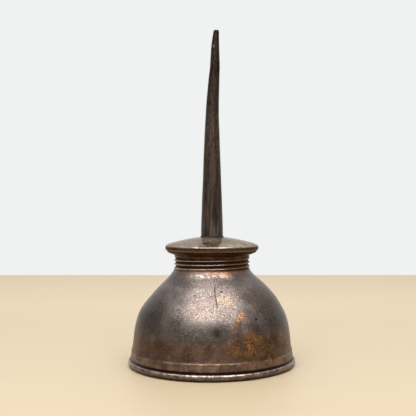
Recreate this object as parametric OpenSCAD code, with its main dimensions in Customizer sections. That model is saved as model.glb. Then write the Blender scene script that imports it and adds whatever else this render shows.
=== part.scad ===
// Handy oiler can: a small push-bottom oil can.
// A drawn dome with a screw neck stands on a clinched rim. Its springy bottom is
// pressed with the thumb, and the oil leaves by a long tapered spout, which is
// soldered into a domed screw cap.
// Millimetres, +Z up. The origin is the centre of the foot, on the surface that
// the can stands on. The spout's tip leans towards +X.

/* [Body] */
// Radius of the rim that the can stands on
rim_r = 38.1; // [37.9:0.05:38.4]
// Thickness of the drawn sheet of the dome and neck
body_t = 0.45; // [0.4:0.05:0.5]
// Height of the raised crease above the rim
crease_z = 6.9; // [6.5:0.1:7.4]

/* [Screw thread] */
// Pitch of the rolled thread, 14 to the inch
pitch = 1.814; // [1.7:0.002:1.9]
// Height of the thread's crest at the front of the neck
crest_z = 47.95; // [47.8:0.05:48.1]
// Sides round one turn of the thread
thread_n = 48; // [48:4:72]

/* [Cap] */
// Outer radius of the cap's curled edge
cap_r = 21.4; // [21:0.1:21.8]
// Height of the cap's dome at the spout
cap_top_z = 57.9; // [57.7:0.05:58.2]
// Thickness of the cap's sheet
cap_t = 0.5; // [0.4:0.05:0.55]
// Height of the washer in the joint
gasket_h = 0.6; // [0.5:0.05:0.65]
// Radius of the curl round the cap's edge
curl_r = 1.3; // [1.2:0.05:1.35]
// Height of the curl's upright part
curl_h = 0.4; // [0.3:0.05:0.5]

/* [Spout] */
// Outer radius of the spout where it leaves the cap
spout_r = 5.03; // [4.9:0.01:5.05]
// Outer radius of the spout below its nib
nib_r = 1.85; // [1.7:0.05:1.9]
// Height of the tip's open end
tip_z = 153; // [150:0.5:156]
// Outer radius at the open end
tip_r = 1.15; // [1.1:0.05:1.25]
// Radius of the outlet
outlet_r = 0.6; // [0.5:0.05:0.7]
// Sideways lean of the tip
lean = 2.0; // [1.5:0.1:2.4]

/* [Spring bottom] */
// Thickness of the spring-steel bottom
spring_t = 0.45; // [0.4:0.05:0.5]
// Height of the bottom's fixed shoulder
shoulder_z = 4.3; // [4:0.1:4.5]
// Height of the middle of the sheet at the centre
centre_z = 1.2; // [1.1:0.05:1.4]

/* [Hidden] */
$fn = 96;
rs = rim_r / 38.1;          // the dome's radii follow the rim
gasket_z = 51.55;           // underside of the washer, just clear of the lip

// ---- curves ----
function clamp01(x) = min(1, max(0, x));
function ease(a, b, x) = let (t = clamp01((x - a) / (b - a))) t * t * (3 - 2 * t);
function mix(a, b, t) = a + (b - a) * t;
function rev(p) = [for (i = [len(p) - 1 : -1 : 0]) p[i]];
// Catmull-Rom point between b and c
function cr(a, b, c, d, t) =
    0.5 * (2 * b + (c - a) * t + (2 * a - 5 * b + 4 * c - d) * t * t + (3 * b - a - 3 * c + d) * t * t * t);
function curve(p, n) = [for (i = [0 : len(p) - 2]) for (k = [0 : n - 1])
    cr(p[max(i - 1, 0)], p[i], p[i + 1], p[min(i + 2, len(p) - 1)], k / n), p[len(p) - 1]];
// the same line moved t to its left
function normal_at(p, i) = let (d = p[min(i + 1, len(p) - 1)] - p[max(i - 1, 0)]) [-d[1], d[0]] / norm(d);
function beside(p, t) = [for (i = [0 : len(p) - 1]) p[i] + t * normal_at(p, i)];
// an arc of a circle in the r-z plane
function arc(c, r, a0, a1, n) = [for (i = [0 : n]) c + r * [cos(mix(a0, a1, i / n)), sin(mix(a0, a1, i / n))]];
// height at radius r on a line of (r, z) points whose r falls
function z_at(p, r) = let (i = max([for (k = [0 : len(p) - 2]) p[k][0] >= r ? k : 0]))
    mix(p[i][1], p[i + 1][1], clamp01((r - p[i][0]) / (p[i + 1][0] - p[i][0])));

module turned(points) { rotate_extrude($fn = 96) polygon(points); }

// A closed skin through rings of equal length; the last ring joins the first.
module ring_loop(rings) {
    m = len(rings);
    n = len(rings[0]);
    polyhedron(
        points = [for (g = rings) for (p = g) p],
        faces = [for (i = [0 : m - 1]) for (j = [0 : n - 1])
            let (a = i * n + j, b = i * n + (j + 1) % n,
                 c = ((i + 1) % m) * n + (j + 1) % n, d = ((i + 1) % m) * n + j)
            each [[a, c, b], [a, d, c]]],
        convexity = 6);
}

// ---- the dome, outside surface from the foot to the root of the neck ----
foot_r = 37.1 * rs;
dome_pts = [
    [foot_r, 3.0], [36.98 * rs, 4.2], [36.82 * rs, 5.4], [36.68 * rs, crease_z - 0.65],
    [36.70 * rs, crease_z], [36.38 * rs, crease_z + 0.75], [36.15 * rs, 9.0],
    [35.88 * rs, 11.5], [35.6 * rs, 14], [35.27 * rs, 16.4], [34.77 * rs, 19], [34.07 * rs, 21.6],
    [33.1 * rs, 24.1], [31.75 * rs, 26.6], [30.1 * rs, 29.1], [28.2 * rs, 31.5],
    [26.1 * rs, 33.9], [23.9 * rs, 36.2], [21.75, 38.2], [19.85, 40.0], [18.5, 41.5], [17.75, 42.5], [17.4, 43.1], [17.3, 43.5]];
dome_out = curve(dome_pts, 2);
dome_in = beside(dome_out, body_t);

// ---- the rolled thread ----
thread_lo = 43.2;           // where the threaded sleeve starts, inside the top of the dome
thread_hi = 49.3;           // where it ends, inside the band under the lip
function phase(th, z) = cos(360 * (z - crest_z) / pitch - (th - 270));
// neck, outside radius
function neck_w(z) = ease(43.55, 44.1, z) * (1 - ease(48.2, 49.0, z));
function neck_base(z) = mix(17.3, 17.09, ease(43.2, 44.4, z));
function neck_ro(th, z) = neck_base(z) + neck_w(z) * (-0.1 + 0.375 * phase(th, z));
// collar, outside radius
collar_lo = 43.5;
function collar_w(z) = ease(43.9, 44.5, z) * (1 - ease(48.4, 49.2, z));
function collar_ro(th, z) = 15.95 + collar_w(z) * 0.275 * (1 + phase(th, z));

function thread_ring(z, th_n, r) = [for (j = [0 : th_n - 1]) let (th = 360 * j / th_n) [r(th, z) * cos(th), r(th, z) * sin(th), z]];
function levels(a, b, s) = let (n = ceil((b - a) / s)) [for (i = [0 : n]) mix(a, b, i / n)];

// ---- 1 the drawn body: foot flange, dome, neck with rolled thread, flared lip ----
module body_shell() {
    color([0.36, 0.27, 0.24]) {
        // dome, with the foot turned out into a flange that the rim clinches
        turned(concat(
            [[37.65 * rs, 0.85], [37.65 * rs, 0.85 + body_t], [foot_r, 0.85 + body_t]],
            dome_out, rev(dome_in),
            [[foot_r - body_t, 0.85]]));
        // threaded neck; its ends lie inside the rings that they meet
        zs = levels(thread_lo, thread_hi, pitch / 4);
        nz = len(zs);
        ring_loop(concat(
            [for (z = zs) thread_ring(z, thread_n, function(th, z) neck_ro(th, z) - 0.02)],
            [for (i = [nz - 1 : -1 : 0]) thread_ring(zs[i], thread_n, function(th, z) neck_ro(th, z) - body_t + 0.06)]));
        // plain band and flared lip, where the washer sits
        turned([[17.09, 49.0], [17.12, 49.5], [17.35, 49.85], [18.05, 50.2], [19.25, 50.68], [20.0, 51.0], [20.35, 51.2], [20.45, 51.35],
                [20.35, 51.5], [17.75, 51.5], [17.25, 51.35], [16.9, 51.0], [16.7, 50.4], [17.09 - body_t, 49.6], [17.09 - body_t, 49.0]]);
    }
}

// ---- 2 the clinched rim, whose flat underside is the foot ----
module rim_hoop() {
    color([0.34, 0.25, 0.23])
    turned(concat(
        [[35.6 * rs, 0], [37.2 * rs, 0]],
        arc([rim_r - 0.9, 0.9], 0.9, -80, 0, 6),
        arc([rim_r - 1.1, 1.9], 1.1, 10, 80, 6),
        [[foot_r + 0.02, 3.0], [foot_r + 0.02, 0.87 + body_t], [37.67 * rs, 0.87 + body_t],
         [37.67 * rs, 0.4], [35.6 * rs, 0.4]]));
}

// ---- 3 the solder that seals the bottom seam ----
module seam_solder() {
    color([0.55, 0.55, 0.55])
    turned([[35.55 * rs, 0.87], [foot_r - body_t - 0.02, 0.87], [foot_r - body_t - 0.02, 2.3],
            [36.3 * rs, 1.75], [35.9 * rs, 1.5], [35.4 * rs, 1.5]]);
}

// ---- 4 the springy bottom: clamped edge, shoulder, flexing web with rings, centre ----
web_mid = concat(
    [[37.6 * rs, 0.4 + spring_t / 2], [35.5 * rs, 0.4 + spring_t / 2]],
    curve([[35.05, 0.9], [34.8, 2.0], [34.55, 3.4], [33.9, shoulder_z - 0.15], [32.9, shoulder_z]], 3),
    [for (r = [31.9 : -1.1 : 11]) [r, mix(centre_z, shoulder_z, ease(9, 33.5, r)) + 0.16 * sin(360 * (r - 12) / 6.6) * ease(11, 15, r) * (1 - ease(28, 32, r))]],
    [[10, centre_z], [0, centre_z]]);
module bottom_diaphragm() {
    color([0.36, 0.33, 0.31])
    let (up = beside(web_mid, -spring_t / 2), lo = beside(web_mid, spring_t / 2))
        turned([for (p = concat(lo, rev(up))) [max(0, p[0]), p[1]]]);
}

// ---- 5 the stiffening plate on the inside of the bottom's centre ----
plate_z = centre_z + spring_t / 2;
module pressure_plate() {
    color([0.5, 0.5, 0.5])
    turned([[0, plate_z + 0.02], [8.6, plate_z + 0.02], [9.2, plate_z + 0.3], [9.2, plate_z + 0.55], [8.8, plate_z + 0.8], [0, plate_z + 0.8]]);
}

// ---- 6 the washer between the neck's lip and the cap ----
module neck_gasket() {
    color([0.5, 0.33, 0.18])
    turned([[16.75, gasket_z], [18.85, gasket_z], [19.05, gasket_z + 0.2], [19.05, gasket_z + gasket_h], [16.75, gasket_z + gasket_h]]);
}

// ---- 7 the threaded collar, whose flange is held in the cap's curl ----
module collar_sleeve() {
    zs = levels(collar_lo, 49.6, pitch / 4);
    nz = len(zs);
    ring_loop(concat(
        [for (z = zs) thread_ring(z, thread_n, function(th, z) collar_ro(th, z))],
        [for (i = [nz - 1 : -1 : 0]) thread_ring(zs[i], thread_n, function(th, z) collar_ro(th, z) - 0.42)]));
}
module screw_collar() {
    color([0.42, 0.36, 0.31]) {
        collar_sleeve();
        turned([[15.45, 49.2], [16.0, 49.2], [16.0, flange_z - 0.3], [16.3, flange_z], [cap_r - curl_r, flange_z],
                [cap_r - curl_r, flange_z + 0.45], [16.0, flange_z + 0.45], [15.45, flange_z - 0.1]]);
    }
}

// ---- 8 the domed cap with its edge curled under ----
flange_z = gasket_z + gasket_h;     // underside of the collar's flange
curl_c = [cap_r - curl_r, flange_z - cap_t + curl_r];
cap_line = concat(
    [[5.12, cap_top_z], [6.5, cap_top_z - 0.11], [8.5, cap_top_z - 0.38], [11, cap_top_z - 0.82], [14, cap_top_z - 1.45],
     [16.5, cap_top_z - 2.03], [18.2, cap_top_z - 2.42], [19.0, cap_top_z - 2.68], [19.6, cap_top_z - 2.93]],
    arc(curl_c + [0, curl_h], curl_r, 66, 0, 10), arc(curl_c, curl_r, 0, -90, 12),
    [[cap_r - curl_r - 0.4, curl_c[1] - curl_r]]);
module cap_dome() {
    color([0.38, 0.3, 0.26])
    turned(concat(cap_line, rev(beside(cap_line, -cap_t))));
}

// ---- 9 the rolled spout, straight and then a little bent near its tip ----
bend_z = tip_z - 44;        // where the bend starts
function lean_at(z) = lean * (0.70 * ease(bend_z, tip_z - 15.5, z) * mix(0.35, 1, ease(bend_z, tip_z - 18, z)) + 0.30 * ease(tip_z - 9, tip_z, z));
root_z = 67;                // the root's slow taper ends here
root_r = 4.88;
function spout_ro(z) = z > tip_z - 7.3 ? mix(nib_r, tip_r, clamp01((z - (tip_z - 7.3)) / 7.0))
    : z > root_z ? mix(root_r, nib_r, (z - root_z) / (tip_z - 7.3 - root_z))
    : mix(spout_r, root_r, clamp01((z - 57.5) / (root_z - 57.5)));
spout_n = 24;
function spout_ring(r, z) = [for (j = [0 : spout_n - 1]) let (th = 360 * j / spout_n) [lean_at(z) + r * cos(th), r * sin(th), z]];
module spout_tube() {
    zo = concat([for (z = [bend_z + 3 : 3 : tip_z - 9]) z], [tip_z - 7.3, tip_z - 4, tip_z - 0.3]);
    zi = concat([tip_z - 4], [for (z = [tip_z - 8 : -6 : bend_z + 3]) z]);
    color([0.22, 0.19, 0.17]) {
        // straight part, with the flange turned out under the cap
        turned([[5.05, cap_top_z - 1.3], [6.9, cap_top_z - 1.3], [6.9, cap_top_z - 0.8], [spout_r + 0.2, cap_top_z - 0.62], [spout_r, cap_top_z - 0.45], [spout_ro(root_z), root_z],
                [spout_ro(bend_z), bend_z], [spout_ro(bend_z) - 0.5, bend_z], [spout_ro(root_z) - 0.5, root_z], [spout_r - 0.4, cap_top_z - 0.9]]);
        // bent part; its first rings lie inside the wall of the straight part
        ring_loop(concat(
            [spout_ring(spout_ro(bend_z - 1) - 0.02, bend_z - 1), spout_ring(spout_ro(bend_z) - 0.02, bend_z)],
            [for (z = zo) spout_ring(spout_ro(z), z)],
            [spout_ring(tip_r - 0.12, tip_z), spout_ring(outlet_r, tip_z)],
            [for (z = zi) spout_ring(max(outlet_r, spout_ro(z) - 0.5), z)],
            [spout_ring(spout_ro(bend_z) - 0.44, bend_z), spout_ring(spout_ro(bend_z - 1) - 0.44, bend_z - 1)]));
    }
}

// ---- brazing along the spout's rolled seam, at the back ----
module spout_seam() {
    z0 = root_z + 1; z1 = bend_z - 2;
    color([0.6, 0.45, 0.25])
    polyhedron(
        points = [for (z = [z0, z1]) for (q = [[-0.42, -0.06], [0.42, -0.06], [0.2, 0.12], [-0.2, 0.12]])
            [q[0], spout_ro(z) + q[1], z]],
        faces = [[0, 1, 2, 3], [7, 6, 5, 4], [0, 4, 5, 1], [1, 5, 6, 2], [2, 6, 7, 3], [3, 7, 4, 0]]);
}

// ---- 10 the solder round the spout's root ----
module spout_solder() {
    color([0.4, 0.36, 0.33])
    turned([[spout_r + 0.02, cap_top_z + 0.02], [5.55, cap_top_z + 0.02], [5.3, cap_top_z + 0.2], [5.12, cap_top_z + 0.5], [spout_r + 0.02, cap_top_z + 0.75]]);
}

body_shell();
rim_hoop();
seam_solder();
bottom_diaphragm();
pressure_plate();
neck_gasket();
screw_collar();
cap_dome();
spout_tube();
spout_seam();
spout_solder();
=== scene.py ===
import math
import random

import bmesh
import bpy
import numpy as np
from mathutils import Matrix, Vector, noise


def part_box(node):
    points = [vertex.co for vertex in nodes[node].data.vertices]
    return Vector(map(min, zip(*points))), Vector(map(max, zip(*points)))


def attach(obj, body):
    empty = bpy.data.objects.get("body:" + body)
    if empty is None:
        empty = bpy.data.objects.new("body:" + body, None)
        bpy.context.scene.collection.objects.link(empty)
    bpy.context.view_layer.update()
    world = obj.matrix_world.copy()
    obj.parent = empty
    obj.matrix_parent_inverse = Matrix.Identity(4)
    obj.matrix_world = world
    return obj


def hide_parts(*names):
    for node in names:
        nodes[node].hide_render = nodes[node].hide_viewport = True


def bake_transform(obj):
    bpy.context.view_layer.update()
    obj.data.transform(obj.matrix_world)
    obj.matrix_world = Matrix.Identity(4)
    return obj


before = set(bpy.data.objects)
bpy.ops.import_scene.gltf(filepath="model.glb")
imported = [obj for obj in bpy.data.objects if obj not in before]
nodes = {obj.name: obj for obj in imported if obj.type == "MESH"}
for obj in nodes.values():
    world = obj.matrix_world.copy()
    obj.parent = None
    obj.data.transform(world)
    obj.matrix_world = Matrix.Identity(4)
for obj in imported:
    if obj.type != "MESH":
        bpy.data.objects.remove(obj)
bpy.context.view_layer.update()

random.seed(7)
scene = bpy.context.scene


# ------------------------------------------------------------------ sizes, in mm
def lo(n):
    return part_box(n)[0] * 1000


def hi(n):
    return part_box(n)[1] * 1000


RIM_R = hi("rim_hoop").x
LIP_Z = hi("body_shell").z            # top of the neck's lip
WASHER_LO, WASHER_HI = lo("neck_gasket").z, hi("neck_gasket").z
CAP_R = hi("cap_dome").x
CAP_TOP = hi("cap_dome").z
TIP_Z = hi("spout_tube").z
BODY_T, CAP_T, SPRING_T = 0.45, 0.5, 0.45
PITCH, CREST_Z = 1.814, 47.95
SHOULDER_Z, CENTRE_Z = 4.3, 1.2


def clamp(x, a=0.0, b=1.0):
    return np.minimum(b, np.maximum(a, x))


def ease(a, b, x):
    t = clamp((np.asarray(x, float) - a) / (b - a))
    return t * t * (3 - 2 * t)


def spline(points, n):
    """Catmull-Rom line through points, n steps to a span."""
    p = np.array(points, float)
    out = []
    for i in range(len(p) - 1):
        a, b, c, d = p[max(i - 1, 0)], p[i], p[i + 1], p[min(i + 2, len(p) - 1)]
        for k in range(n):
            t = k / n
            out.append(0.5 * (2 * b + (c - a) * t + (2 * a - 5 * b + 4 * c - d) * t * t
                              + (3 * b - a - 3 * c + d) * t ** 3))
    out.append(p[-1])
    return np.array(out)


def beside(line, t):
    line = np.asarray(line, float)
    d = np.empty_like(line)
    d[1:-1] = line[2:] - line[:-2]
    d[0], d[-1] = line[1] - line[0], line[-1] - line[-2]
    d /= np.linalg.norm(d, axis=1)[:, None]
    return line + t * np.stack([-d[:, 1], d[:, 0]], 1)


def arc(cx, cz, r, a0, a1, n):
    a = np.radians(np.linspace(a0, a1, n + 1))
    return np.stack([cx + r * np.cos(a), cz + r * np.sin(a)], 1)


# ------------------------------------------------------------------ mesh making
def finish_mesh(name, verts, faces, sharp):
    me = bpy.data.meshes.new(name)
    me.from_pydata([tuple(v) for v in verts], [], faces)
    me.validate()
    bm = bmesh.new()
    bm.from_mesh(me)
    bmesh.ops.recalc_face_normals(bm, faces=bm.faces)
    bm.to_mesh(me)
    bm.free()
    me.polygons.foreach_set("use_smooth", [True] * len(me.polygons))
    me.set_sharp_from_angle(angle=math.radians(sharp))
    ob = bpy.data.objects.new(name, me)
    scene.collection.objects.link(ob)
    return ob


def revolve(name, loop, n=256, warp=None, sharp=40, closed=True):
    """A surface of revolution from a line of (r, z) in mm. An open line starts and ends on the axis."""
    loop = np.asarray(loop, float)
    th = np.arange(n) * 2 * np.pi / n
    pole_a = pole_b = None
    if not closed:
        pole_a, pole_b, loop = loop[0], loop[-1], loop[1:-1]
    m = len(loop)
    R = np.repeat(loop[:, :1], n, 1)
    Z = np.repeat(loop[:, 1:], n, 1)
    T = np.repeat(th[None], m, 0)
    if warp:
        R, Z = warp(R, Z, T)
    v = np.stack([R * np.cos(T), R * np.sin(T), Z], -1).reshape(-1, 3) / 1000
    j = np.arange(n)
    k = (j + 1) % n
    faces = []
    for i in range(m if closed else m - 1):
        a, b = i * n, ((i + 1) % m) * n
        faces += np.stack([a + j, a + k, b + k, b + j], 1).tolist()
    v = v.tolist()
    if not closed:
        v.append([0, 0, pole_a[1] / 1000])
        faces += [[len(v) - 1, int(p), int(q)] for p, q in zip(j, k)]
        v.append([0, 0, pole_b[1] / 1000])
        faces += [[len(v) - 1, (m - 1) * n + int(q), (m - 1) * n + int(p)] for p, q in zip(j, k)]
    return finish_mesh(name, v, faces, sharp)


def rough_field(R, Z, T, size, seed):
    """Smooth noise over a turned surface, -1 to 1; size is that of a feature, in mm."""
    x, y = R * np.cos(T), R * np.sin(T)
    out = np.empty(R.size)
    xs, ys, zs = x.ravel() / size, y.ravel() / size, Z.ravel() / size
    f = noise.noise
    for i in range(R.size):
        out[i] = f((xs[i] + seed, ys[i], zs[i]))
    return out.reshape(R.shape)


# ------------------------------------------------------------------ lines of the object
FOOT_R = RIM_R - 1.0
DOME = [(FOOT_R, 3.0), (36.98, 4.2), (36.84, 5.4), (36.66, 6.3), (36.74, 6.85), (36.42, 7.6), (36.15, 9.0),
        (35.88, 11.5), (35.6, 14), (35.27, 16.4), (34.77, 19), (34.07, 21.6),
        (33.1, 24.1), (31.75, 26.6), (30.1, 29.1), (28.2, 31.5),
        (26.1, 33.9), (23.9, 36.2), (21.75, 38.2), (19.85, 40.0), (18.5, 41.5), (17.75, 42.5), (17.4, 43.1),
        (17.3, 43.5)]
dome_out = spline(DOME, 5)


def thread_shape(z, th):
    """0 in the groove, 1 on the crest of the right-handed rolled thread."""
    ph = 2 * np.pi * (z - CREST_Z) / PITCH - (th - 1.5 * np.pi)
    return (0.5 + 0.5 * np.cos(ph)) ** 1.45


def neck_weight(z):
    return ease(43.55, 44.1, z) * (1 - ease(48.2, 49.0, z))


def neck_base(z):
    return 17.3 + (17.09 - 17.3) * ease(43.2, 44.4, z)


def on_dome(az, z, out=0.0):
    """A point on the dome's outside, in mm, az degrees from the front towards +X."""
    r = float(np.interp(z, dome_out[:, 1], dome_out[:, 0])) + out
    a = math.radians(az + 1.9)
    return Vector((r * math.sin(a), -r * math.cos(a), z))


# ------------------------------------------------------------------ 1 body
neck_z = np.arange(43.58, 49.02, 0.085)
neck_out = np.stack([neck_base(neck_z), neck_z], 1)
lip = spline([(17.09, 49.1), (17.12, 49.5), (17.35, 49.85), (18.05, 50.2), (19.25, 50.68), (20.0, 51.0), (20.33, 51.17)], 4)
lip_edge = [(20.42, 51.26), (20.44, 51.35), (20.42, LIP_Z - 0.06), (20.33, LIP_Z)]
lip_in = [(17.75, LIP_Z), (17.4, LIP_Z - 0.07), (17.1, LIP_Z - 0.26), (16.9, LIP_Z - 0.55), (16.7, 50.4), (16.64, 49.6), (16.64, 49.1)]
body_loop = np.concatenate([
    [(37.6, 0.85), (37.65, 0.95), (37.65, 1.22), (37.6, 1.3), (FOOT_R + 0.1, 1.3), (FOOT_R, 1.45)],
    dome_out, neck_out, lip, lip_edge, lip_in,
    (neck_out - [BODY_T, 0])[::-1], beside(dome_out, BODY_T)[::-1], [(FOOT_R - BODY_T, 1.2), (FOOT_R - BODY_T, 0.85)]])
DIMPLE = on_dome(3.1, 19.6)


def body_warp(R, Z, T):
    w = np.where((Z > 43.5) & (Z < 49.05), neck_weight(Z), 0)
    dR = w * (-0.475 + 0.75 * thread_shape(Z, T))
    free = ease(7.5, 12, Z) * (1 - ease(40, 43, Z))
    dR += free * (0.17 * rough_field(R, Z, T, 17, 3.3) + 0.05 * rough_field(R, Z, T, 6, 9.1))
    band = ease(3.2, 4.2, Z) * (1 - ease(6.9, 9, Z))
    dR += band * 0.05 * rough_field(R, Z, T, 7, 5.7)
    d = np.sqrt((R * np.cos(T) - DIMPLE.x) ** 2 + (R * np.sin(T) - DIMPLE.y) ** 2 + (Z - DIMPLE.z) ** 2)
    dR -= 0.16 * np.exp(-(d / 2.3) ** 2)
    # the right shoulder has been pushed out a little, the left one in
    dR += 0.5 * np.cos(T) * ease(25, 32, Z) * (1 - ease(37.5, 42.5, Z))
    return R + dR, Z


body = revolve("body_shell_skin", body_loop, n=320, warp=body_warp, sharp=50)

# ------------------------------------------------------------------ 2 rim
rim_loop = np.concatenate([
    [(35.62, 0.05), (35.7, 0.0), (36.5, 0.0)],
    arc(RIM_R - 1.5, 1.5, 1.5, -84, 0, 12),
    arc(RIM_R - 1.1, 1.9, 1.1, 0, 78, 14),
    [(FOOT_R + 0.1, 2.9), (FOOT_R + 0.03, 2.25), (FOOT_R + 0.03, 1.33), (37.67, 1.33), (37.67, 0.9), (37.35, 0.42), (35.7, 0.4), (35.62, 0.34)]])


def rim_warp(R, Z, T):
    k = ease(36.9, 37.9, R) * ease(0.35, 0.9, Z)
    return R - k * (0.03 + 0.03 * rough_field(R, Z, T, 5, 1.7)), Z + k * 0.03 * rough_field(R, Z, T, 6, 8.2)


rim = revolve("rim_hoop_skin", rim_loop, n=320, warp=rim_warp, sharp=50)

# ------------------------------------------------------------------ 3 bottom: clamped edge, and the web that flexes
ts = SPRING_T / 2
sh = spline([(35.05, 0.9), (34.8, 2.0), (34.55, 3.4), (33.9, SHOULDER_Z - 0.15), (33.3, SHOULDER_Z)], 5)
edge_mid = np.concatenate([[(37.3, 0.42 + ts), (35.5, 0.42 + ts)], sh])
edge_loop = np.concatenate([beside(edge_mid, ts), beside(edge_mid, -ts)[::-1]])
bottom_edge = revolve("bottom_edge", edge_loop, n=256, sharp=50)
wr = np.arange(33.25, 9.9, -0.3)


def web_z(r):
    return CENTRE_Z + (SHOULDER_Z - CENTRE_Z) * ease(9, 33.5, r) \
        + 0.16 * np.sin(2 * np.pi * (r - 12) / 6.6) * ease(11, 15, r) * (1 - ease(28, 32, r))


web_mid = np.stack([wr, web_z(wr)], 1)
web_mid = np.concatenate([web_mid, [(r, CENTRE_Z) for r in (8.5, 6, 3, 0.9)]])
web_lo, web_up = beside(web_mid, ts), beside(web_mid, -ts)
web_loop = np.concatenate([[(0, CENTRE_Z - ts)], web_lo[::-1], web_up, [(0, CENTRE_Z + ts)]])
web = revolve("bottom_web", web_loop, n=256, sharp=50, closed=False)

# ------------------------------------------------------------------ 4 washer
washer_loop = spline([(16.75, WASHER_LO + 0.05), (16.85, WASHER_LO), (18.8, WASHER_LO), (19.0, WASHER_LO + 0.18),
                      (19.04, WASHER_LO + 0.6), (19.0, WASHER_HI - 0.1), (18.9, WASHER_HI), (16.85, WASHER_HI), (16.75, WASHER_HI - 0.05)], 3)


def washer_warp(R, Z, T):
    k = ease(18.2, 18.9, R)
    return R - k * (0.12 + 0.12 * rough_field(R, Z, T, 2.2, 4.4)), Z


washer = revolve("leather_washer", washer_loop, n=256, warp=washer_warp, sharp=60)

# ------------------------------------------------------------------ 5 collar
CURL, CURL_H = 1.3, 0.4               # radius of the curl round the cap's edge, height of its upright part
cz = np.arange(43.5, 49.4, 0.09)
collar_out = np.stack([np.full_like(cz, 15.95), cz], 1)
FL = WASHER_HI
collar_loop = np.concatenate([
    collar_out, [(15.98, 49.6), (16.0, FL - 0.5), (16.1, FL - 0.12), (16.35, FL)],
    [(CAP_R - CURL - 0.05, FL), (CAP_R - CURL, FL + 0.05), (CAP_R - CURL, FL + 0.4), (CAP_R - CURL - 0.05, FL + 0.45), (16.1, FL + 0.45), (15.75, FL + 0.3),
     (15.5, FL - 0.1), (15.48, FL - 1), (15.5, 49.5)],
    (collar_out - [0.42, 0])[::-1]])


def collar_warp(R, Z, T):
    w = np.where(Z < 49.45, ease(43.9, 44.5, Z) * (1 - ease(48.4, 49.2, Z)), 0)
    return R + w * 0.55 * thread_shape(Z, T), Z


collar = revolve("screw_collar_skin", collar_loop, n=256, warp=collar_warp, sharp=50)

# ------------------------------------------------------------------ 6 cap
cc = (CAP_R - CURL, FL - CAP_T + CURL + CURL_H / 2)
cap_out = np.concatenate([
    spline([(5.12, CAP_TOP), (6.5, CAP_TOP - 0.11), (8.5, CAP_TOP - 0.38), (11, CAP_TOP - 0.82), (14, CAP_TOP - 1.45),
            (16.5, CAP_TOP - 2.03), (18.2, CAP_TOP - 2.42), (19.0, CAP_TOP - 2.68), (19.6, CAP_TOP - 2.93)], 6),
    arc(cc[0], cc[1] + CURL_H / 2, CURL, 66, 0, 16), arc(cc[0], cc[1] - CURL_H / 2, CURL, 0, -90, 18),
    [(CAP_R - CURL - 0.4, cc[1] - CURL_H / 2 - CURL)]])
cap_loop = np.concatenate([cap_out, beside(cap_out, -CAP_T)[::-1]])


def cap_warp(R, Z, T):
    k = ease(6.5, 9, R)
    return R - ease(19.6, 20.8, R) * (0.02 + 0.03 * rough_field(R, Z, T, 5, 6.1)), \
        Z + k * 0.05 * rough_field(R, Z, T, 6, 2.9)


cap = revolve("cap_skin", cap_loop, n=288, warp=cap_warp, sharp=55)

# ------------------------------------------------------------------ 7 spout
SP_Z = [57.0, 60, 64, 67, 70, 84, 98, 112, 122, 131, 139, 145.2, 146.2, 149.5, 152.4]
SP_R = [5.03, 5.04, 4.98, 4.9, 4.78, 4.26, 3.74, 3.19, 2.81, 2.46, 2.11, 1.86, 1.81, 1.55, 1.3]
LN_Z = [57, 100, 109, 115, 120, 125.5, 131, 133.4, 135.2, 137, 142, 145.5, 149, 153]
LN_X = [0, 0, 0.04, 0.14, 0.3, 0.62, 0.96, 1.12, 1.34, 1.37, 1.42, 1.46, 1.66, 2.0]


def smooth_table(zs, vals, z):
    """A table read with its corners rounded off."""
    z = np.asarray(z, float)
    return sum(w * np.interp(z + d, zs, vals) for d, w in ((-1.6, .15), (-0.8, .22), (0, .26), (0.8, .22), (1.6, .15)))


def spout_lean(z):
    return smooth_table(LN_Z, LN_X, z)


def tube(name, rings, n, warp=None, sharp=50):
    """A closed skin through rings of (centre x, radius, z); the last ring joins the first."""
    rings = np.array(rings, float)
    m = len(rings)
    th = np.arange(n) * 2 * np.pi / n
    T = np.repeat(th[None], m, 0)
    X0 = np.repeat(rings[:, :1], n, 1)
    R = np.repeat(rings[:, 1:2], n, 1)
    Z = np.repeat(rings[:, 2:], n, 1)
    if warp:
        R = warp(R, Z, T)
    v = np.stack([X0 + R * np.cos(T), R * np.sin(T), Z], -1).reshape(-1, 3) / 1000
    j = np.arange(n)
    k = (j + 1) % n
    faces = []
    for i in range(m):
        a, b = i * n, ((i + 1) % m) * n
        faces += np.stack([a + j, a + k, b + k, b + j], 1).tolist()
    return finish_mesh(name, v.tolist(), faces, sharp)


zo = np.concatenate([np.arange(57.25, 108, 0.9), np.arange(108, TIP_Z - 0.35, 0.45)])
outer = [(0, 5.02, CAP_TOP - 1.28), (0, 6.85, CAP_TOP - 1.3), (0, 6.88, CAP_TOP - 0.83), (0, 5.25, CAP_TOP - 0.64), (0, 5.03, CAP_TOP - 0.45)]
outer += [(float(spout_lean(z)), float(np.interp(z, SP_Z, SP_R)), z) for z in zo]
lt = float(spout_lean(TIP_Z))
outer += [(lt, 1.13, TIP_Z - 0.28), (lt, 1.1, TIP_Z - 0.1), (lt, 1.02, TIP_Z - 0.02), (lt, 0.92, TIP_Z), (lt, 0.72, TIP_Z), (lt, 0.62, TIP_Z - 0.08)]
zi = np.concatenate([[TIP_Z - 0.5, TIP_Z - 2, TIP_Z - 4], np.arange(TIP_Z - 6, 60, -3)])
inner = [(float(spout_lean(z)), max(0.6, float(np.interp(z, SP_Z, SP_R)) - 0.5), z) for z in zi]
inner += [(0, 4.55, 57.6), (0, 4.6, CAP_TOP - 0.9)]


def spout_warp(R, Z, T):
    k = ease(58.5, 64, Z)
    dents = 0.05 * rough_field(R, Z, T, 9, 4.2) + 0.02 * rough_field(R, Z * 0.25, T, 1.6, 7.7)
    # the bend has flattened the tube a little
    dents += 0.06 * ease(118, 130, Z) * (1 - ease(138, 146, Z)) * np.cos(2 * T)
    return R + k * dents * clamp(R / 3, 0.3, 1) - k * 0.015


spout = tube("spout_skin", outer + inner, 112, spout_warp)

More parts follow.
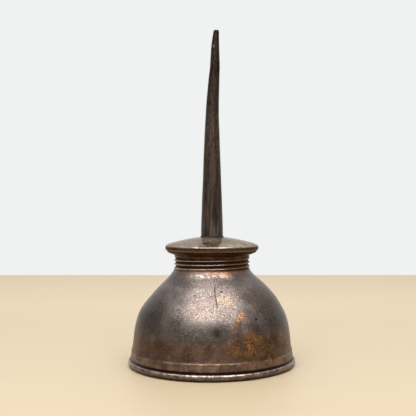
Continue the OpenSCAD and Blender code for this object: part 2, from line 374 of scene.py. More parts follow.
# the brazed seam, a low rough bead down the back
seam_v, seam_f = [], []
sz = np.arange(68.2, TIP_Z - 46.2, 0.6)
q = [(-0.42, -0.08), (-0.3, 0.02), (-0.16, 0.09), (0, 0.12), (0.16, 0.09), (0.3, 0.02), (0.42, -0.08)]
for i, z in enumerate(sz):
    r = float(np.interp(z, SP_Z, SP_R))
    wob = 0.05 * noise.noise((3.1, z * 0.3, 0.2))
    wid = 0.9 + 0.18 * noise.noise((7.1, z * 0.6, 1.2))
    for u, h in q:
        u = u * wid + wob
        rr = math.sqrt(max(0, r * r - u * u)) + max(-0.1, h * (1 + 0.4 * noise.noise((z * 0.9, u, 2.2)))) - 0.01
        seam_v.append((u / 1000, rr / 1000, z / 1000))
    if i:
        a, b = (i - 1) * len(q), i * len(q)
        seam_f += [[a + k, a + k + 1, b + k + 1, b + k] for k in range(len(q) - 1)]
        seam_f += [[a + len(q) - 1, a, b, b + len(q) - 1]]
seam_f += [list(range(len(q))), [(len(sz) - 1) * len(q) + k for k in range(len(q))][::-1]]
seam = finish_mesh("spout_seam_bead", seam_v, seam_f, 60)

# ------------------------------------------------------------------ 8 solder at the spout's root
sol_loop = spline([(5.04, CAP_TOP + 0.02), (5.62, CAP_TOP - 0.02), (5.52, CAP_TOP + 0.08), (5.34, CAP_TOP + 0.2), (5.17, CAP_TOP + 0.45), (5.06, CAP_TOP + 0.72), (5.035, CAP_TOP + 0.72)], 3)


def sol_warp(R, Z, T):
    k = ease(5.06, 5.3, R)
    return R + k * 0.12 * rough_field(R, Z, T, 1.6, 2.1), Z


solder = revolve("spout_solder_fillet", sol_loop, n=128, warp=sol_warp, sharp=70)


# ------------------------------------------------------------------ materials
def col(r, g, b, a=1.0):
    def f(c):
        c /= 255
        return c / 12.92 if c <= 0.04045 else ((c + 0.055) / 1.055) ** 2.4
    return (f(r), f(g), f(b), a)


class Mat:
    """A node-based material on object coordinates, in mm."""

    def __init__(self, name, metallic=1.0, rough=0.4, **sockets):
        self.m = bpy.data.materials.new(name)
        self.m.use_nodes = True
        self.t = self.m.node_tree
        self.bsdf = self.t.nodes["Principled BSDF"]
        self.bsdf.inputs["Metallic"].default_value = metallic
        self.bsdf.inputs["Roughness"].default_value = rough
        for k, v in sockets.items():
            self.bsdf.inputs[k.replace("_", " ")].default_value = v
        tc = self.new("ShaderNodeTexCoord")
        s = self.new("ShaderNodeVectorMath", operation="SCALE")
        self.link(tc.outputs["Object"], s.inputs[0])
        s.inputs["Scale"].default_value = 1000
        self.P = s.outputs[0]
        sep = self.new("ShaderNodeSeparateXYZ")
        self.link(self.P, sep.inputs[0])
        self.x, self.y, self.z = sep.outputs
        self.height = None

    def new(self, kind, **props):
        n = self.t.nodes.new(kind)
        for k, v in props.items():
            setattr(n, k, v)
        return n

    def link(self, a, b):
        self.t.links.new(a, b)

    def feed(self, sock, v):
        if isinstance(v, bpy.types.NodeSocket):
            self.link(v, sock)
        else:
            sock.default_value = v

    def math(self, op, a, b=0.0, clampit=False):
        n = self.new("ShaderNodeMath", operation=op, use_clamp=clampit)
        self.feed(n.inputs[0], a)
        self.feed(n.inputs[1], b)
        return n.outputs[0]

    def mul(self, a, b):
        return self.math("MULTIPLY", a, b)

    def add(self, a, b):
        return self.math("ADD", a, b)

    def scaled(self, s, shift=(0, 0, 0)):
        n = self.new("ShaderNodeMapping")
        self.link(self.P, n.inputs["Vector"])
        n.inputs["Scale"].default_value = s
        n.inputs["Location"].default_value = shift
        return n.outputs[0]

    def noise(self, size, detail=4.0, rough=0.55, stretch=(1, 1, 1), shift=(0, 0, 0), warp=0.0):
        """Noise 0..1 whose features are about size mm."""
        n = self.new("ShaderNodeTexNoise")
        self.link(self.scaled(tuple(s / size for s in stretch), shift), n.inputs["Vector"])
        n.inputs["Scale"].default_value = 1.0
        n.inputs["Detail"].default_value = detail
        n.inputs["Roughness"].default_value = rough
        n.inputs["Distortion"].default_value = warp
        return n.outputs["Fac"]

    def step(self, v, a, b, smooth=True):
        """0 below a, 1 above b (or the other way if a > b)."""
        n = self.new("ShaderNodeMapRange", interpolation_type="SMOOTHSTEP" if smooth else "LINEAR")
        self.feed(n.inputs["Value"], v)
        if a < b:
            vals = (a, b, 0.0, 1.0)
        else:
            vals = (b, a, 1.0, 0.0)
        for k, x in zip(("From Min", "From Max", "To Min", "To Max"), vals):
            n.inputs[k].default_value = x
        return n.outputs[0]

    def span(self, v, a, b, c, d):
        return self.mul(self.step(v, a, b), self.step(v, d, c))

    def mix(self, fac, a, b, mode="MIX"):
        n = self.new("ShaderNodeMix", data_type="RGBA", blend_type=mode, clamp_factor=True)
        self.feed(n.inputs["Factor"], fac)
        self.feed(n.inputs[6], a)
        self.feed(n.inputs[7], b)
        return n.outputs[2]

    def lerp(self, fac, a, b):
        n = self.new("ShaderNodeMix", data_type="FLOAT", clamp_factor=True)
        self.feed(n.inputs[0], fac)
        self.feed(n.inputs[2], a)
        self.feed(n.inputs[3], b)
        return n.outputs[0]

    def blob(self, at, r0, r1, ragged=0.0, size=2.0):
        """1 within r0 of a point, 0 beyond r1, with a ragged outline."""
        n = self.new("ShaderNodeVectorMath", operation="DISTANCE")
        self.link(self.P, n.inputs[0])
        n.inputs[1].default_value = tuple(at)
        d = n.outputs["Value"]
        if ragged:
            d = self.add(d, self.mul(self.math("SUBTRACT", self.noise(size, 4, 0.6), 0.5), ragged * 2))
        return self.step(d, r1, r0)

    def most(self, *v):
        out = v[0]
        for x in v[1:]:
            out = self.math("MAXIMUM", out, x)
        return out

    def line(self, a, b, w, size=1.0, wander=0.15):
        """1 within w of the straight line from a to b."""
        a, b = Vector(a), Vector(b)
        ab = b - a
        L = ab.length
        u = ab / L
        sub = self.new("ShaderNodeVectorMath", operation="SUBTRACT")
        self.link(self.P, sub.inputs[0])
        sub.inputs[1].default_value = tuple(a)
        dot = self.new("ShaderNodeVectorMath", operation="DOT_PRODUCT")
        self.link(sub.outputs[0], dot.inputs[0])
        dot.inputs[1].default_value = tuple(u)
        t = self.math("MINIMUM", self.math("MAXIMUM", dot.outputs["Value"], 0.0), L)
        sc = self.new("ShaderNodeVectorMath", operation="SCALE")
        sc.inputs[0].default_value = tuple(u)
        self.link(t, sc.inputs["Scale"])
        dist = self.new("ShaderNodeVectorMath", operation="DISTANCE")
        self.link(sub.outputs[0], dist.inputs[0])
        self.link(sc.outputs[0], dist.inputs[1])
        d = self.add(dist.outputs["Value"], self.mul(self.math("SUBTRACT", self.noise(size, 2), 0.5), wander))
        return self.step(d, w * 1.7, w * 0.6)

    def bump(self, v, mm):
        """Adds to the height of the surface; v of 0..1 is worth mm."""
        h = self.mul(v, mm)
        self.height = h if self.height is None else self.add(self.height, h)

    def done(self, colour=None, rough=None, metallic=None, strength=1.0):
        if colour is not None:
            self.link(colour, self.bsdf.inputs["Base Color"])
        if rough is not None:
            self.link(rough, self.bsdf.inputs["Roughness"])
        if metallic is not None:
            self.link(metallic, self.bsdf.inputs["Metallic"])
        if self.height is not None:
            b = self.new("ShaderNodeBump")
            b.inputs["Strength"].default_value = strength
            b.inputs["Distance"].default_value = 0.001
            self.link(self.height, b.inputs["Height"])
            self.link(b.outputs[0], self.bsdf.inputs["Normal"])
        return self.m


def worn_plate(name, part):
    """Copper plate on steel, worn and browned."""
    m = Mat(name, 1.0, 0.4)
    big = m.noise(17, 3, 0.5, shift=(3.1, 0.4, 1.7))
    mid = m.noise(4.5, 5, 0.62, shift=(1.3, 2.2, 0.3))
    small = m.noise(1.2, 4, 0.62)
    grain = m.noise(0.55, 3, 0.65, shift=(5, 5, 5))
    streak = m.noise(1.4, 4, 0.6, stretch=(1, 1, 0.2), shift=(2, 0, 0))

    c = m.mix(m.step(mid, 0.33, 0.68), col(93, 84, 80), col(119, 110, 106))
    c = m.mix(m.mul(m.step(big, 0.45, 0.62), 0.5), c, col(78, 67, 62))
    if part == "body":
        az = m.math("ARCTAN2", m.x, m.mul(m.y, -1))          # 0 at the front, positive towards +X
        rag = m.mul(m.math("SUBTRACT", m.noise(7, 5, 0.62, shift=(0, 7, 0)), 0.5), 9)
        zr = m.add(m.z, rag)
        side = m.add(az, m.mul(m.math("SUBTRACT", mid, 0.5), 0.9))
        right = m.step(side, 0.12, 0.5)
        # grey band over the browned foot; the flanks and the back painted darker, as shade
        c = m.mix(m.mul(m.mul(m.span(zr, 15, 18, 20.5, 25), m.step(side, 0.35, -0.1)), 0.5), c, col(116, 110, 101))
        # painted shade on the left and right flanks and on the back
        c = m.mix(m.mul(m.blob(on_dome(-60, 25), 3, 17, 3, 6), 0.8), c, col(58, 45, 41))
        c = m.mix(m.mul(m.blob(on_dome(58, 25), 5, 19, 3, 6), 0.65), c, col(66, 54, 50))
        c = m.mix(m.mul(m.blob(on_dome(180, 27), 6, 22, 5, 7), 0.5), c, col(72, 58, 52))
        # red-brown under the shoulder
        low = m.step(zr, 19.5, 12.5)
        c = m.mix(m.mul(low, 0.85), c, m.mix(m.step(mid, 0.36, 0.62), col(90, 66, 55), col(116, 91, 78)))
        c = m.mix(m.mul(m.mul(low, m.step(m.noise(8, 4, 0.6, shift=(6, 0, 3)), 0.45, 0.6)), 0.5), c, col(82, 54, 44))
        # golden brown at the lower right
        gold = m.mul(m.mul(right, m.step(side, 1.25, 0.85)), m.step(zr, 23, 15))
        patch = m.step(m.noise(3.4, 5, 0.65, shift=(2, 5, 5)), 0.42, 0.6)
        c = m.mix(m.mul(gold, 0.75), c, m.mix(patch, col(70, 52, 38), col(118, 88, 49)))
        # dark brown on the right shoulder
        c = m.mix(m.mul(m.blob(on_dome(44, 31), 3, 13, 3, 6), 0.35), c, col(96, 78, 68))
        # tints in the rubbed front
        c = m.mix(m.mul(m.blob(on_dome(-9, 28), 1.5, 8, 3, 3), 0.2), c, col(142, 116, 102))
        c = m.mix(m.mul(m.blob(on_dome(12, 32), 0.6, 5, 3, 1.6), 0.25), c, col(166, 138, 100))
    # grain: paler and darker specks, fainter on the browned foot
    pale = 0.3
    if part == "body":
        # painted shade: a darker band round the upper dome, between the highlight and the neck
        c = m.mix(m.mul(m.span(m.add(m.z, m.mul(rag, 0.3)), 36.2, 38.2, 39.8, 41.2), 0.45), c, col(70, 62, 60))
        pale = m.lerp(low, m.lerp(m.blob(on_dome(-2, 28), 6, 20, 4, 5), 0.34, 0.6), 0.2)
    c = m.mix(m.mul(m.step(grain, 0.53, 0.63), pale), c, col(160, 148, 141))
    c = m.mix(m.mul(m.step(small, 0.56, 0.7), 0.35), c, col(140, 122, 112))
    fleck = m.step(m.noise(0.62, 3, 0.65, shift=(2, 6, 1)), 0.54, 0.66)
    c = m.mix(m.mul(fleck, 0.5), c, col(46, 37, 34))
    if part == "body":
        # bare copper, in specks
        speck = m.most(m.step(m.noise(0.6, 4, 0.7, shift=(9, 1, 4)), 0.53, 0.6), m.step(m.noise(1.3, 4, 0.7, shift=(3, 7, 4)), 0.55, 0.61))
        zone = m.most(m.blob(on_dome(21.5, 25.3), 1.0, 3.6, 2.2, 2.0), m.mul(m.blob(on_dome(25, 19.9), 0.8, 3.2, 1.5, 1.6), 0.95),
                      m.mul(m.blob(on_dome(15, 21.5), 0.8, 3.4, 2, 1.6), 0.55), m.mul(m.blob(on_dome(27, 15.2), 2.0, 6.5, 3.5, 2.4), 0.62),
                      m.mul(m.blob(on_dome(14, 13.8), 1.5, 6.0, 3, 2.4), 0.3), m.mul(m.blob(on_dome(57, 15), 1, 4, 2, 2), 0.5),
                      m.mul(m.blob(on_dome(162, 20), 2, 7, 3, 2.4), 0.6), m.mul(m.blob(on_dome(-128, 13), 2, 6, 3, 2.4), 0.5))
        c = m.mix(m.mul(m.mul(speck, zone), 0.9), c, col(224, 146, 74))
        # worn copper under the neck
        c = m.mix(m.mul(m.mul(m.step(m.z, 39.8, 41.5), m.step(m.noise(5, 4, 0.6, shift=(4, 4, 2)), 0.42, 0.6)), 0.55), c, col(96, 68, 50))
        c = m.mix(m.mul(m.blob(on_dome(18, 42.2), 0.3, 3.6, 3, 1.0), 0.55), c, col(156, 110, 78))
        c = m.mix(m.mul(m.blob(on_dome(-150, 42.4), 0.6, 4.5, 2, 1.5), 0.6), c, col(170, 112, 70))
        # painted highlight: a speckled bright band under the neck, at the front only
        painted_glint = m.mul(m.mul(m.span(m.add(m.z, m.mul(rag, 0.05)), 40.6, 41.1, 41.7, 42.3), m.step(m.noise(1.2, 4, 0.65, shift=(7, 7, 1)), 0.44, 0.56)),
                      m.mul(m.step(az, -0.75, -0.3), m.step(az, 0.6, 0.2)))
        c = m.mix(m.mul(painted_glint, 0.6), c, col(206, 192, 184))
        ring = m.mul(m.span(m.add(m.z, m.mul(rag, 0.06)), 41.6, 42.1, 43.3, 43.9), m.step(m.noise(0.8, 4, 0.7, shift=(2, 9, 4)), 0.5, 0.58))
        c = m.mix(m.mul(ring, 0.5), c, col(160, 110, 78))
        # neck: darker in the grooves; crests painted light, partly rubbed metal and partly a painted highlight
        ph = m.add(m.mul(m.math("SUBTRACT", m.z, CREST_Z), 2 * math.pi / PITCH), m.mul(az, -1.0))
        crest = m.math("POWER", m.add(m.mul(m.math("COSINE", ph), 0.5), 0.5), 1.4)
        inneck = m.step(m.z, 43.0, 44.0)
        neck_colour = m.mix(m.step(mid, 0.4, 0.62), col(72, 53, 38), col(108, 82, 56))
        neck_colour = m.mix(m.mul(m.step(crest, 0.3, 0.05), m.step(m.z, 48.6, 48.2)), neck_colour, col(40, 29, 22))
        crest_rub_and_highlight = m.mix(right, col(188, 166, 154), col(150, 110, 80))
        c = m.mix(inneck, c, m.mix(m.mul(m.mul(m.step(crest, 0.55, 0.95), m.step(m.z, 49.0, 48.4)), m.step(small, 0.2, 0.5)), neck_colour, crest_rub_and_highlight))
        # painted shade on the lip, under the cap's curl
        c = m.mix(m.mul(m.step(m.z, 50.5, 51.1), 0.6), c, col(52, 36, 26))
        # crease painted bright, partly rubbed metal and partly a painted highlight; brown band below it
        band = m.step(m.add(m.z, m.mul(rag, 0.05)), 7.3, 6.2)
        c = m.mix(m.mul(band, 0.7), c, m.mix(m.step(m.add(m.mul(mid, 0.7), m.mul(small, 0.3)), 0.4, 0.6), col(102, 80, 66), col(148, 122, 106)))
        rub_and_highlight = m.mul(m.span(m.z, 6.35, 6.8, 7.0, 7.5), m.step(m.noise(3.2, 4, 0.65, shift=(1, 8, 0)), 0.46, 0.62))
        c = m.mix(m.mul(rub_and_highlight, 0.45), c, col(176, 154, 142))
        # painted shade: a dark line in the gap above the rim
        c = m.mix(m.mul(m.step(m.z, 4.3, 3.8), 0.95), c, col(26, 19, 16))
        # dark stain, crack line, pits
        dark_patch = m.blob(on_dome(3.1, 19.5), 0.4, 3.0, 0.6, 1.6)
        c = m.mix(m.mul(dark_patch, 0.75), c, col(52, 36, 33))
        pts = [on_dome(3.2, 37.6), on_dome(2.3, 35.9), on_dome(2.8, 34.0), on_dome(3.6, 31.5), on_dome(3.9, 29.6)]
        crack = m.most(*[m.line(a, b, 0.13) for a, b in zip(pts, pts[1:])])
        pit = m.most(m.blob(on_dome(9.2, 35.5), 0.25, 0.7), m.blob(on_dome(-66.6, 31.5), 0.25, 0.75), m.blob(on_dome(-17, 34), 0.2, 0.5),
                     m.blob(on_dome(34, 24), 0.3, 0.9, 0.2, 1), m.blob(on_dome(-28, 28.2), 0.2, 0.5), m.blob(on_dome(140, 30), 0.3, 0.8),
                     m.blob(on_dome(-105, 22), 0.3, 0.8), m.blob(on_dome(100, 17), 0.2, 0.6), m.blob(on_dome(-160, 33), 0.25, 0.6))
        mark = m.most(crack, pit)
        c = m.mix(m.mul(mark, 0.85), c, col(36, 26, 25))
        m.bump(mark, -0.12)
    else:
        stre = m.noise(3.5, 5, 0.62, shift=(6, 1, 2))
        c = m.mix(m.mul(m.step(stre, 0.4, 0.65), 0.7), c, col(128, 103, 93))
        c = m.mix(m.mul(m.step(m.noise(1.6, 5, 0.7, shift=(1, 5, 2)), 0.48, 0.62), 0.6), c, col(58, 44, 38))
        # painted shade on the rim's lower part, down to the floor
        c = m.mix(m.mul(m.step(m.z, 1.5, 0.6), 0.85), c, col(52, 39, 34))
        # the bead's upper half painted bright, partly rubbed metal and partly a painted highlight
        rub_and_highlight = m.mul(m.step(m.noise(2.4, 5, 0.68, shift=(3, 3, 3)), 0.42, 0.58), m.span(m.z, 1.6, 2.1, 2.7, 2.95))
        c = m.mix(m.mul(rub_and_highlight, 0.7), c, col(186, 162, 152))
    r = m.lerp(m.step(mid, 0.3, 0.7), 0.28, 0.4)
    r = m.lerp(m.mul(fleck, 0.8), r, 0.6)
    r = m.lerp(m.mul(m.step(small, 0.5, 0.7), 0.5), r, 0.25)
    if part == "body":
        r = m.lerp(m.mul(inneck, m.step(crest, 0.8, 0.3)), r, 0.6)
        r = m.lerp(m.mul(gold, 0.5), r, 0.5)
        r = m.lerp(m.mul(low, 0.5), r, 0.46)
    else:
        r = m.lerp(rub_and_highlight, r, 0.2)
    m.bump(grain, 0.016)
    m.bump(small, 0.032)
    m.bump(fleck, -0.02)
    m.bump(streak, 0.01)
    return m.done(c, r)


def cap_metal():
    m = Mat("cap_patina", 0.4, 0.35, Specular_IOR_Level=0.3, Specular_Tint=(0.5, 0.43, 0.36, 1.0))
    rad = m.math("SQRT", m.add(m.mul(m.x, m.x), m.mul(m.y, m.y)))
    mid = m.noise(4, 5, 0.62, shift=(1, 4, 0))
    small = m.noise(0.9, 4, 0.6, shift=(8, 2, 2))
    grain = m.noise(0.4, 2, 0.6)
    c = m.mix(m.step(mid, 0.36, 0.64), col(80, 66, 53), col(116, 102, 87))
    c = m.mix(m.mul(m.step(m.noise(9, 3, 0.5, shift=(2, 2, 2)), 0.48, 0.62), 0.4), c, col(74, 60, 47))
    c = m.mix(m.mul(m.step(small, 0.5, 0.66), 0.45), c, col(152, 135, 118))
    # the curl: its side painted dark as shade, its shoulder painted light as a highlight (partly rubbed metal), its
    # foot painted pale as the floor's reflection
    curl_side_shade = m.mul(m.step(m.z, cc[1] + 0.85, cc[1] + 0.5), m.step(rad, 19.0, 19.6))
    c = m.mix(m.mul(curl_side_shade, 0.9), c, m.mix(m.step(small, 0.4, 0.62), col(52, 39, 34), col(80, 64, 58)))
    # painted reflection of the floor on the curl's foot
    curl_foot_reflection = m.mul(m.step(m.z, cc[1] - 0.6, cc[1] - 0.85), m.step(m.noise(2.2, 4, 0.6, shift=(1, 1, 6)), 0.3, 0.5))
    c = m.mix(m.mul(curl_foot_reflection, 0.8), c, col(150, 120, 94))
    # painted highlight on the curl's shoulder, partly rubbed metal
    shoulder_rub_and_highlight = m.mul(m.mul(m.span(m.z, cc[1] + 0.5, cc[1] + 0.75, cc[1] + 1.2, cc[1] + 1.38), m.step(rad, 20.1, 20.4)),
                     m.step(m.noise(2.5, 4, 0.6, shift=(4, 1, 6)), 0.3, 0.5))
    c = m.mix(m.mul(shoulder_rub_and_highlight, 0.85), c, col(148, 135, 128))
    fleck = m.step(m.noise(0.6, 3, 0.65, shift=(2, 6, 1)), 0.57, 0.7)
    c = m.mix(m.mul(fleck, 0.55), c, col(52, 40, 34))
    # painted reflection of the dark spout, in front of the spout's foot, down to the edge
    dark_patch = m.mul(m.mul(m.span(m.x, -6.4, -4.8, 3.0, 4.6), m.step(m.y, -13.5, -16)), m.step(m.z, cc[1] + 0.5, cc[1] + 0.8))
    c = m.mix(dark_patch, c, (0.5, 0.47, 0.45, 1), "MULTIPLY")
    r = m.lerp(m.step(small, 0.4, 0.7), 0.1, 0.24)
    r = m.lerp(m.mul(curl_side_shade, 0.7), r, 0.24)
    r = m.lerp(curl_foot_reflection, r, 0.45)
    r = m.lerp(m.mul(fleck, 0.6), r, 0.5)
    m.bump(grain, 0.005)
    m.bump(small, 0.014)
    m.bump(fleck, -0.01)
    return m.done(c, r, m.lerp(shoulder_rub_and_highlight, m.lerp(curl_side_shade, 0.4, 0.75), 0.7))


def spout_metal():
    m = Mat("spout_patina", 1.0, 0.35)
    streak = m.noise(0.8, 5, 0.62, stretch=(1, 1, 0.05))
    fine = m.noise(0.6, 4, 0.7, stretch=(1, 1, 0.3), shift=(3, 3, 3))
    broad = m.noise(2.6, 3, 0.5, stretch=(1, 1, 0.12), shift=(4, 0, 1))
    mid = m.noise(3.5, 5, 0.6, stretch=(1, 1, 0.5), shift=(1, 1, 1))
    small = m.noise(0.6, 4, 0.6)
    # long streaks low down, grain higher up
    high = m.step(m.z, 82, 98)
    c = m.mix(m.step(m.lerp(high, streak, fine), 0.38, 0.62), col(64, 55, 49), col(98, 87, 78))
    c = m.mix(m.mul(m.step(broad, 0.48, 0.66), 0.5), c, col(82, 60, 49))
    c = m.mix(m.mul(m.step(mid, 0.55, 0.72), 0.6), c, col(40, 32, 28))
    c = m.mix(m.mul(m.step(m.noise(0.5, 3, 0.7, shift=(8, 2, 1)), 0.58, 0.68), 0.5), c, col(142, 128, 116))
    c = m.mix(m.mul(m.step(m.z, 72, 60), 0.5), c, m.mix(m.step(streak, 0.42, 0.6), col(62, 60, 60), col(118, 113, 110)))
    # darker above the knee, darkest at it
    c = m.mix(m.mul(m.step(m.z, 126, 135), 0.45), c, m.mix(m.step(fine, 0.45, 0.6), col(40, 32, 29), col(78, 54, 44)))
    c = m.mix(m.mul(m.span(m.z, 131.0, 133.0, 135.0, 137.5), 0.28), c, col(34, 25, 21))
    c = m.mix(m.step(m.z, 106, 124), c, (0.63, 0.59, 0.55, 1), "MULTIPLY")
    c = m.mix(m.step(m.z, 145.5, 149), c, (0.68, 0.68, 0.68, 1), "MULTIPLY")
    # painted highlight: a small pale glint on the front near the tip
    rub_and_highlight = m.mul(m.blob((0.6, -1.6, 145.4), 0.1, 1.1, 0.5, 1), 0.55)
    c = m.mix(rub_and_highlight, c, col(150, 122, 110))
    c = m.mix(m.mul(m.step(m.z, TIP_Z - 1.4, TIP_Z - 0.3), 0.85), c, col(24, 22, 20))
    r = m.lerp(m.step(streak, 0.35, 0.65), 0.32, 0.44)
    r = m.lerp(m.step(mid, 0.5, 0.75), r, 0.55)
    m.bump(m.lerp(high, streak, fine), 0.045)
    m.bump(broad, 0.035)
    m.bump(small, 0.016)
    return m.done(c, r)


def dull_metal(name, a, b, size, rough=0.45, lumps=0.03):
    m = Mat(name, 1.0, rough)
    n1 = m.noise(size, 5, 0.6)
    n2 = m.noise(size * 0.25, 3, 0.6, shift=(3, 1, 2))
    c = m.mix(m.step(n1, 0.35, 0.65), a, b)
    c = m.mix(m.mul(m.step(n2, 0.52, 0.68), 0.5), c, col(70, 58, 50))
    r = m.lerp(m.step(n1, 0.3, 0.7), rough - 0.07, rough + 0.12)
    m.bump(n1, lumps)
    m.bump(n2, lumps * 0.5)
    return m.done(c, r)


def leather():
    m = Mat("oiled_leather", 0.0, 0.6)
    n1 = m.noise(1.1, 5, 0.6)
    v = m.new("ShaderNodeTexVoronoi", feature="DISTANCE_TO_EDGE")
    m.link(m.scaled((1.6, 1.6, 1.6)), v.inputs["Vector"])
    v.inputs["Scale"].default_value = 1.0
    cell = m.step(v.outputs["Distance"], 0.0, 0.12)
    c = m.mix(m.step(n1, 0.35, 0.66), col(96, 62, 34), col(152, 104, 60))
    c = m.mix(m.mul(m.math("SUBTRACT", 1.0, cell), 0.4), c, col(60, 38, 22))
    r = m.lerp(m.step(n1, 0.3, 0.7), 0.5, 0.68)
    m.bump(cell, 0.03)
    m.bump(n1, 0.05)
    return m.done(c, r)


def spring_steel():
    m = Mat("spring_steel", 1.0, 0.4)
    rad = m.math("SQRT", m.add(m.mul(m.x, m.x), m.mul(m.y, m.y)))
    turn = m.new("ShaderNodeTexNoise", noise_dimensions="1D")
    m.link(m.mul(rad, 3.2), turn.inputs["W"])
    turn.inputs["Scale"].default_value = 1.0
    turn.inputs["Detail"].default_value = 4.0
    # the sheet flexes along z, so its marks are laid out over x and y alone and stay put on it
    mid = m.noise(6, 5, 0.6, stretch=(1, 1, 0))
    rust = m.noise(3.2, 5, 0.65, stretch=(1, 1, 0), shift=(2, 2, 9))
    c = m.mix(m.step(mid, 0.35, 0.65), col(92, 82, 76), col(122, 112, 106))
    c = m.mix(m.mul(m.step(rust, 0.5, 0.66), 0.75), c, col(96, 60, 42))
    c = m.mix(m.mul(m.step(rad, 24, 34), 0.5), c, col(70, 50, 40))
    c = m.mix(m.mul(m.step(rad, 13, 4), 0.4), c, col(150, 138, 130))
    r = m.lerp(m.step(mid, 0.3, 0.7), 0.34, 0.5)
    r = m.lerp(m.step(rust, 0.5, 0.66), r, 0.66)
    m.bump(turn.outputs["Fac"], 0.02)
    m.bump(rust, 0.04)
    return m.done(c, r)


def dress(ob, mat, body_name, slot_name, *replaced):
    ob.data.materials.clear()
    ob.data.materials.append(mat)
    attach(ob, body_name)
    if replaced:
        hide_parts(*replaced)


m_body = worn_plate("worn_copper_plate", "body")
m_rim = worn_plate("worn_copper_rim", "rim")
m_cap = cap_metal()
m_spout = spout_metal()
m_solder = dull_metal("root_solder", col(38, 32, 28), col(58, 50, 44), 1.2, 0.6, 0.06)
m_seam_solder = dull_metal("seam_solder_grey", col(140, 140, 142), col(170, 170, 172), 2.5, 0.45, 0.08)
m_collar = dull_metal("oily_steel", col(118, 100, 88), col(150, 134, 122), 3.0, 0.34, 0.02)
m_plate = dull_metal("plate_steel", col(128, 122, 118), col(156, 150, 146), 3.0, 0.38, 0.02)
m_braze = dull_metal("tarnished_braze", col(88, 68, 46), col(122, 96, 64), 1.6, 0.45, 0.05)
m_leather = leather()
m_spring = spring_steel()

dress(body, m_body, "can", "body_shell", "body_shell")
dress(rim, m_rim, "can", "rim_hoop", "rim_hoop")
dress(bottom_edge, m_spring, "can", "bottom_diaphragm", "bottom_diaphragm")
web.data.materials.append(m_spring)
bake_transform(web)
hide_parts("bottom_diaphragm")
dress(washer, m_leather, "washer", "neck_gasket", "neck_gasket")
dress(collar, m_collar, "cap", "screw_collar", "screw_collar")
dress(cap, m_cap, "cap", "cap_dome", "cap_dome")
dress(spout, m_spout, "cap", "spout_tube", "spout_tube")
dress(seam, m_braze, "cap", "spout_seam", "spout_seam")
dress(solder, m_solder, "cap", "spout_solder", "spout_solder")
for n, mat in (("seam_solder", m_seam_solder), ("pressure_plate", m_plate)):
    nodes[n].data.materials.clear()
    nodes[n].data.materials.append(mat)


# ------------------------------------------------------------------ floor, wall, light, camera
def plane(name, corners, mat):
    me = bpy.data.meshes.new(name)
    me.from_pydata(corners, [], [[0, 1, 2, 3]])
    ob = bpy.data.objects.new(name, me)
    scene.collection.objects.link(ob)
    me.materials.append(mat)
    return ob


def plain(name, near, far, rough):
    m = Mat(name, 0.0, rough)
    n = m.noise(60, 4, 0.55, stretch=(0.3, 1.6, 1))
    # painted light: the near floor is darker than the far floor, against the key light that falls mostly on the near
    # part
    c = m.mix(m.step(m.y, 60, 240), near, far)
    return m.done(m.mix(m.mul(m.step(n, 0.35, 0.65), 0.03), c, col(120, 108, 90)))


plane("floor", [(-2.5, -2.5, 0), (2.5, -2.5, 0), (2.5, 0.433, 0), (-2.5, 0.433, 0)], plain("pale_floor", col(168, 152, 125), col(178, 161, 132), 0.5))

world = bpy.data.worlds.new("room")
scene.world = world
world.use_nodes = True
wt = world.node_tree
bg = wt.nodes["Background"]
out = wt.nodes["World Output"]
tc = wt.nodes.new("ShaderNodeTexCoord")
sep = wt.nodes.new("ShaderNodeSeparateXYZ")
wt.links.new(tc.outputs["Generated"], sep.inputs[0])
ramp = wt.nodes.new("ShaderNodeMapRange")
ramp.interpolation_type = "SMOOTHSTEP"
wt.links.new(sep.outputs[1], ramp.inputs["Value"])
ramp.inputs["From Min"].default_value = 0.1
ramp.inputs["From Max"].default_value = 0.85
ramp.inputs["To Min"].default_value = 0.46
ramp.inputs["To Max"].default_value = 0.85
side = wt.nodes.new("ShaderNodeMath")             # the room is dimmer at the sides
side.operation = "ABSOLUTE"
wt.links.new(sep.outputs[0], side.inputs[0])
dim = wt.nodes.new("ShaderNodeMath")
dim.operation = "MULTIPLY"
wt.links.new(side.outputs[0], dim.inputs[0])
dim.inputs[1].default_value = 0.2
less = wt.nodes.new("ShaderNodeMath")
less.operation = "SUBTRACT"
wt.links.new(ramp.outputs[0], less.inputs[0])
wt.links.new(dim.outputs[0], less.inputs[1])
above = wt.nodes.new("ShaderNodeMapRange")        # and brighter overhead
above.interpolation_type = "SMOOTHSTEP"
wt.links.new(sep.outputs[2], above.inputs["Value"])
above.inputs["From Min"].default_value = 0.3
above.inputs["From Max"].default_value = 0.85
above.inputs["To Min"].default_value = 0.0
above.inputs["To Max"].default_value = 0.6
both = wt.nodes.new("ShaderNodeMath")
both.operation = "ADD"
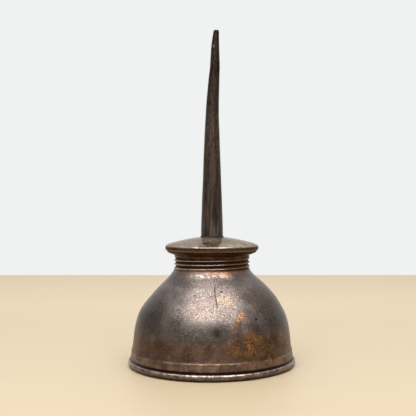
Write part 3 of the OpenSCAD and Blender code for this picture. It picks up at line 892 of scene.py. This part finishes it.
wt.links.new(less.outputs[0], both.inputs[0])
wt.links.new(above.outputs[0], both.inputs[1])
bg.inputs["Color"].default_value = (1.0, 0.985, 0.97, 1)
wt.links.new(both.outputs[0], bg.inputs["Strength"])
bg2 = wt.nodes.new("ShaderNodeBackground")
bg2.inputs["Color"].default_value = col(240, 242, 241)
bg2.inputs["Strength"].default_value = 1.0
lp = wt.nodes.new("ShaderNodeLightPath")
mx = wt.nodes.new("ShaderNodeMixShader")
wt.links.new(lp.outputs["Is Camera Ray"], mx.inputs[0])
wt.links.new(bg.outputs[0], mx.inputs[1])
wt.links.new(bg2.outputs[0], mx.inputs[2])
wt.links.new(mx.outputs[0], out.inputs["Surface"])


def area(name, at, look, size, size_y, power, colour=(1, 1, 1)):
    d = bpy.data.lights.new(name, "AREA")
    d.shape = "RECTANGLE"
    d.size, d.size_y = size, size_y
    d.energy = power
    d.color = colour
    ob = bpy.data.objects.new(name, d)
    scene.collection.objects.link(ob)
    ob.location = at
    ob.rotation_euler = (Vector(look) - Vector(at)).to_track_quat("-Z", "Y").to_euler()
    return ob


area("key", (0.0, -0.29, 0.64), (0, 0, 0.04), 0.84, 0.66, 8.6, (1.0, 1.0, 1.0))
area("back", (0, 0.85, 0.95), (0, 0.4, 0), 1.4, 0.8, 3.2, (1.0, 1.0, 1.0))
area("fill_left", (-0.9, -0.2, 0.55), (0, 0, 0.05), 0.5, 0.7, 0.6, (1.0, 0.99, 0.98))
area("fill_right", (0.95, -0.05, 0.5), (0, 0, 0.05), 0.5, 0.7, 0.4, (0.98, 0.99, 1.0))

cam_d = bpy.data.cameras.new("camera")
cam = bpy.data.objects.new("camera", cam_d)
scene.collection.objects.link(cam)
cam.location = (0.0092, -0.330, 0.07125)
cam.rotation_euler = (math.radians(90), 0, 0)
cam_d.lens = 62.11
cam_d.shift_x = -0.0577
cam_d.sensor_width = 36
cam_d.clip_start = 0.01
scene.camera = cam
scene.view_settings.view_transform = "Standard"
scene.view_settings.look = "None"
